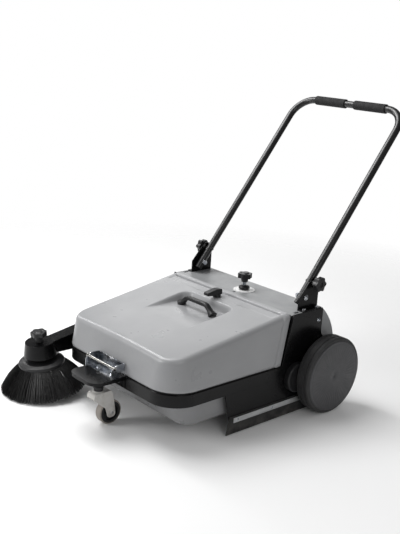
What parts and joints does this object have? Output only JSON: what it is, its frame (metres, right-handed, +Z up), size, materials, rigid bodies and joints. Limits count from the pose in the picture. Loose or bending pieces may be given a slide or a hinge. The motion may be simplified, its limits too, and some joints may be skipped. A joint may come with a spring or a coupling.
{
  "type": "walk-behind sweeper",
  "caption": "Hand-pushed floor sweeper with wheel-driven roller brush, side brush on a lifting arm, lift-out hopper, front caster and folding push handle",
  "frame": {"origin": "on the floor, under the middle of the machine's bounding box", "axes": "+X to the operator's left when facing forward, +Y back towards the push handle, +Z up; the machine travels towards -Y"},
  "size_m": [0.832, 1.2303, 0.9865],
  "materials": {
    "frame_black": "gloss",
    "deck_grey": "satin",
    "hood_grey": "satin",
    "zinc": "gloss",
    "steel": "satin",
    "strip_aluminium": "satin",
    "flap_rubber": "matte",
    "seal_rubber": "matte",
    "belt_rubber": "matte",
    "tyre_rubber": "matte",
    "wheel_plastic": "satin",
    "knob_plastic": "satin",
    "black_plastic": "satin",
    "grip_rubber": "matte",
    "gear_nylon": "satin",
    "bristle": "matte",
    "caster_nylon": "satin",
    "caster_tread": "matte",
    "scale_white": "satin"
  },
  "bodies": {
    "chassis": {"side_plate_left": "frame_black", "side_plate_right": "frame_black", "skirt_panels": "frame_black", "bumper_band": "frame_black", "top_deck": "deck_grey", "rear_cover": "deck_grey", "stub_axles": "steel", "frame_screws": "zinc", "side_flaps": "flap_rubber", "rear_flap": "flap_rubber", "flap_strips": "strip_aluminium", "drive_cover": "black_plastic", "handle_brackets": "frame_black", "front_bracket": "zinc", "front_bar": "zinc", "caster_plate": "frame_black", "caster_collar": "black_plastic", "latch_bracket": "frame_black", "adjuster_ring": "scale_white", "arm_pivot": "steel", "side_drive_belt": "belt_rubber"},
    "brush_carrier": {"carrier_arms": "frame_black", "carrier_crossbar": "frame_black", "brush_bearings": "steel"},
    "main_brush": {"main_brush_core": "steel", "main_brush_bristles": "bristle", "brush_pinion": "gear_nylon"},
    "wheel_left": {"tyre_left": "tyre_rubber", "wheel_rim_left": "wheel_plastic", "wheel_cover_left": "wheel_plastic", "drive_gear": "gear_nylon"},
    "wheel_right": {"tyre_right": "tyre_rubber", "wheel_rim_right": "wheel_plastic", "wheel_cover_right": "wheel_plastic", "drive_pulley": "black_plastic"},
    "handle": {"handle_tube": "frame_black", "handle_grips": "grip_rubber", "handle_bolts": "zinc"},
    "left_clamp": {"handle_knob_left": "knob_plastic"},
    "right_clamp": {"handle_knob_right": "knob_plastic"},
    "height_screw": {"adjuster_rod": "zinc"},
    "height_knob": {"adjuster_knob": "knob_plastic"},
    "lock_nut": {"adjuster_lock_nut": "knob_plastic"},
    "caster_swivel_fork": {"caster_fork": "caster_nylon", "caster_axle": "steel"},
    "caster_roller": {"caster_wheel": "black_plastic", "caster_tyre": "caster_tread"},
    "side_arm": {"side_brush_arm": "frame_black", "side_brush_belt": "belt_rubber"},
    "side_brush": {"side_brush_spindle": "black_plastic", "side_brush_ring": "black_plastic", "side_brush_bristles": "bristle"},
    "idler": {"side_brush_idler": "black_plastic"},
    "side_knob": {"side_brush_knob": "knob_plastic"},
    "hopper": {"hopper_hood": "hood_grey", "hopper_tub": "hood_grey", "hopper_seal": "seal_rubber", "carry_handle": "knob_plastic"},
    "latch": {"latch_knob": "knob_plastic", "latch_plug": "seal_rubber"}
  },
  "joints": [
    {"name": "wheel_left_spin", "type": "hinge", "parent": "brush_carrier", "child": "wheel_left", "pos_m": [0.056, 0.20469, 0.13], "axis": [1, 0, 0], "continuous": true},
    {"name": "wheel_right_spin", "type": "hinge", "parent": "chassis", "child": "wheel_right", "pos_m": [0.056, 0.20469, 0.13], "axis": [1, 0, 0], "continuous": true},
    {"name": "main_brush_spin", "type": "hinge", "parent": "brush_carrier", "child": "main_brush", "pos_m": [0.056, 0.09269, 0.13], "axis": [1, 0, 0], "continuous": true},
    {"name": "brush_carrier_tilt", "type": "hinge", "parent": "chassis", "child": "brush_carrier", "pos_m": [0.056, 0.20469, 0.13], "axis": [1, 0, 0], "range_deg": [-3.7, 1.3]},
    {"name": "height_screw_travel", "type": "slide", "parent": "chassis", "child": "height_screw", "axis": [0, 0, 1], "range_m": [-0.0022, 0.006]},
    {"name": "height_knob_turn", "type": "hinge", "parent": "height_screw", "child": "height_knob", "pos_m": [0.056, 0.11969, 0.39], "axis": [0, 0, 1], "range_deg": [-300, 840]},
    {"name": "lock_nut_turn", "type": "hinge", "parent": "chassis", "child": "lock_nut", "pos_m": [0.056, 0.11969, 0.352], "axis": [0, 0, 1], "range_deg": [-90, 0]},
    {"name": "handle_fold", "type": "hinge", "parent": "chassis", "child": "handle", "pos_m": [0.056, 0.13869, 0.384], "axis": [-1, 0, 0], "range_deg": [-120, 8]},
    {"name": "left_clamp_turn", "type": "hinge", "parent": "handle", "child": "left_clamp", "pos_m": [0.326, 0.1745, 0.42962], "axis": [1, 0, 0], "range_deg": [0, 360]},
    {"name": "right_clamp_turn", "type": "hinge", "parent": "handle", "child": "right_clamp", "pos_m": [-0.214, 0.1745, 0.42962], "axis": [-1, 0, 0], "range_deg": [0, 360]},
    {"name": "caster_swivel", "type": "hinge", "parent": "chassis", "child": "caster_swivel_fork", "pos_m": [0.056, -0.48231, 0.096], "axis": [0, 0, 1], "continuous": true},
    {"name": "caster_roll", "type": "hinge", "parent": "caster_swivel_fork", "child": "caster_roller", "pos_m": [0.056, -0.44231, 0.04], "axis": [1, 0, 0], "continuous": true},
    {"name": "side_arm_lift", "type": "hinge", "parent": "chassis", "child": "side_arm", "pos_m": [-0.272, 0.02969, 0.15], "axis": [-1, 0, 0], "range_deg": [0, 7]},
    {"name": "side_brush_spin", "type": "hinge", "parent": "side_arm", "child": "side_brush", "pos_m": [-0.272, -0.48731, 0.141], "axis": [0, -0.1219, 0.9925], "continuous": true},
    {"name": "side_idler_spin", "type": "hinge", "parent": "chassis", "child": "idler", "pos_m": [-0.254, 0.02969, 0.15], "axis": [1, 0, 0], "continuous": true},
    {"name": "side_knob_turn", "type": "hinge", "parent": "side_arm", "child": "side_knob", "pos_m": [-0.272, -0.48731, 0.141], "axis": [0, -0.1219, 0.9925], "range_deg": [-180, 180]},
    {"name": "hopper_lift", "type": "slide", "parent": "chassis", "child": "hopper", "axis": [0, 0, 1], "range_m": [0, 0.3]},
    {"name": "latch_turn", "type": "hinge", "parent": "hopper", "child": "latch", "pos_m": [0.056, -0.00731, 0.34], "axis": [0, 0, 1], "range_deg": [0, 90]}
  ],
  "couplings": [
    {"joint": "main_brush_spin", "follows": "wheel_left_spin", "ratio": -3},
    {"joint": "side_idler_spin", "follows": "wheel_right_spin", "ratio": 2},
    {"joint": "side_brush_spin", "follows": "wheel_right_spin", "ratio": 2.2917},
    {"joint": "height_screw_travel", "follows": "brush_carrier_tilt", "m_per_rad": -0.085},
    {"joint": "height_knob_turn", "follows": "brush_carrier_tilt", "ratio": -213.63}
  ]
}
